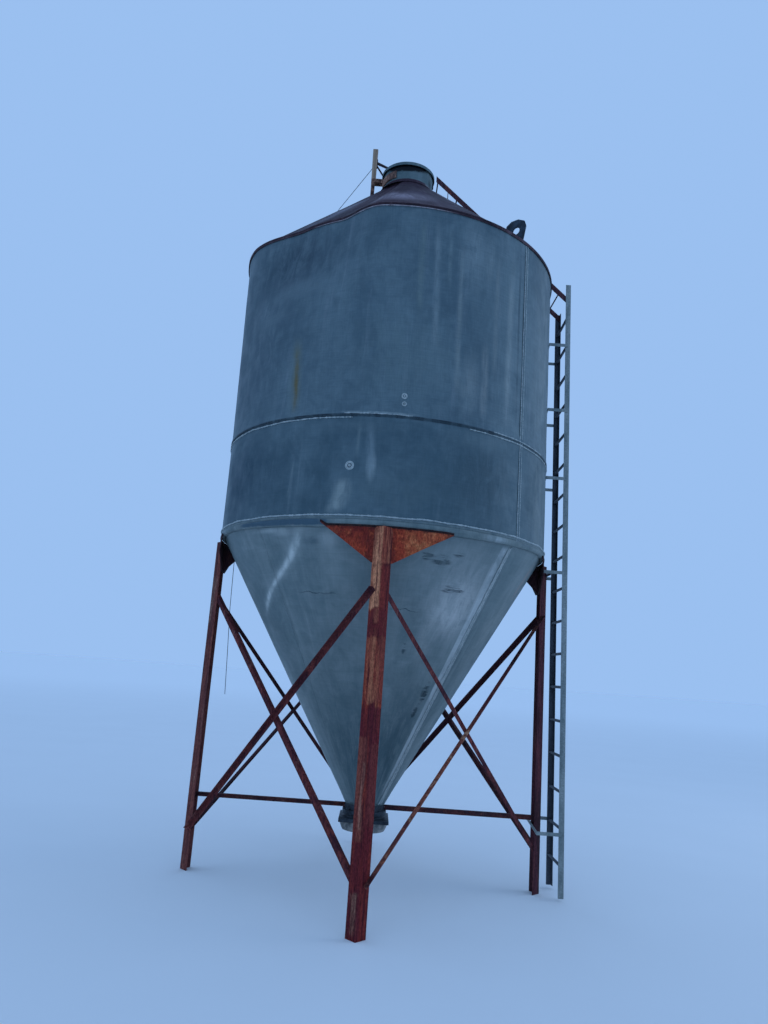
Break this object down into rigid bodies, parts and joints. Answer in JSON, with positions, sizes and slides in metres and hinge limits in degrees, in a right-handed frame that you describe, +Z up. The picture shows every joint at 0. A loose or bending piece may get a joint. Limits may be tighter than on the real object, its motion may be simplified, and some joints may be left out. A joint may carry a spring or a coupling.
{
  "type": "grain silo",
  "caption": "Upright sheet-steel grain silo with a cone roof, hinged fill lid, steep hopper and outlet, on braced angle legs with a side ladder.",
  "frame": {"origin": "bottom centre of the bounding box, on the ground; the silo's own axis stands at x = -0.0809 m, y = 0", "axes": "+Z up, -Y towards the front leg, +X towards the ladder"},
  "size_m": [3.3418, 3.1802, 7.312],
  "materials": {
    "galvanised": "weathered zinc coat, dull, with pale vertical streaks",
    "galvanised_dark": "weathered zinc coat, darker and dull",
    "roof_rust": "matt rust-brown film over old zinc",
    "rust": "matt red-brown rust with tan patches",
    "rust_bright": "matt bright orange rust",
    "rust_dark": "matt dark rust",
    "dark_steel": "dull dark steel",
    "weathered_wood": "bare weathered timber",
    "wire": "dull steel wire"
  },
  "bodies": {
    "silo": {"shell_upper_front": "galvanised", "shell_upper_back": "galvanised", "shell_lower_front": "galvanised_dark", "shell_lower_back": "galvanised_dark", "junction_ring": "galvanised", "hopper_panel_1": "galvanised", "hopper_panel_2": "galvanised", "hopper_panel_3": "galvanised", "hopper_panel_4": "galvanised", "roof_front": "roof_rust", "roof_back": "roof_rust", "lifting_lug_front": "dark_steel", "lifting_lug_back": "dark_steel", "fill_neck": "galvanised", "lid_bracket": "rust", "outlet_collar": "dark_steel", "outlet_gate": "dark_steel", "outlet_boot": "galvanised", "leg_front": "rust", "leg_right": "rust", "leg_back": "rust", "leg_left": "rust", "leg_head_front": "rust_bright", "leg_head_right": "rust_bright", "leg_head_back": "rust_bright", "leg_head_left": "rust_bright", "strut_front": "rust_dark", "strut_right": "rust_dark", "strut_back": "rust_dark", "strut_left": "rust_dark", "brace_outer_front_right": "rust", "brace_outer_right_back": "rust", "brace_outer_back_left": "rust", "brace_outer_left_front": "rust", "brace_inner_front_right": "rust", "brace_inner_right_back": "rust", "brace_inner_back_left": "rust", "brace_inner_left_front": "rust", "ladder_lower": "galvanised", "ladder_upper": "galvanised", "ladder_bracket_shell_1": "galvanised_dark", "ladder_bracket_shell_2": "galvanised_dark", "ladder_bracket_shell_3": "galvanised_dark", "ladder_bracket_head": "galvanised_dark", "ladder_bracket_leg": "galvanised", "roof_ladder": "rust_dark", "pull_wire": "wire"},
    "lid_assembly": {"lid": "galvanised", "lid_post": "weathered_wood", "lid_stays": "rust_dark"}
  },
  "joints": [
    {"name": "lid_hinge", "type": "hinge", "parent": "silo", "child": "lid_assembly", "pos_m": [-0.45288, 0, 6.93], "axis": [0, -1, 0], "range_deg": [0, 60]}
  ]
}
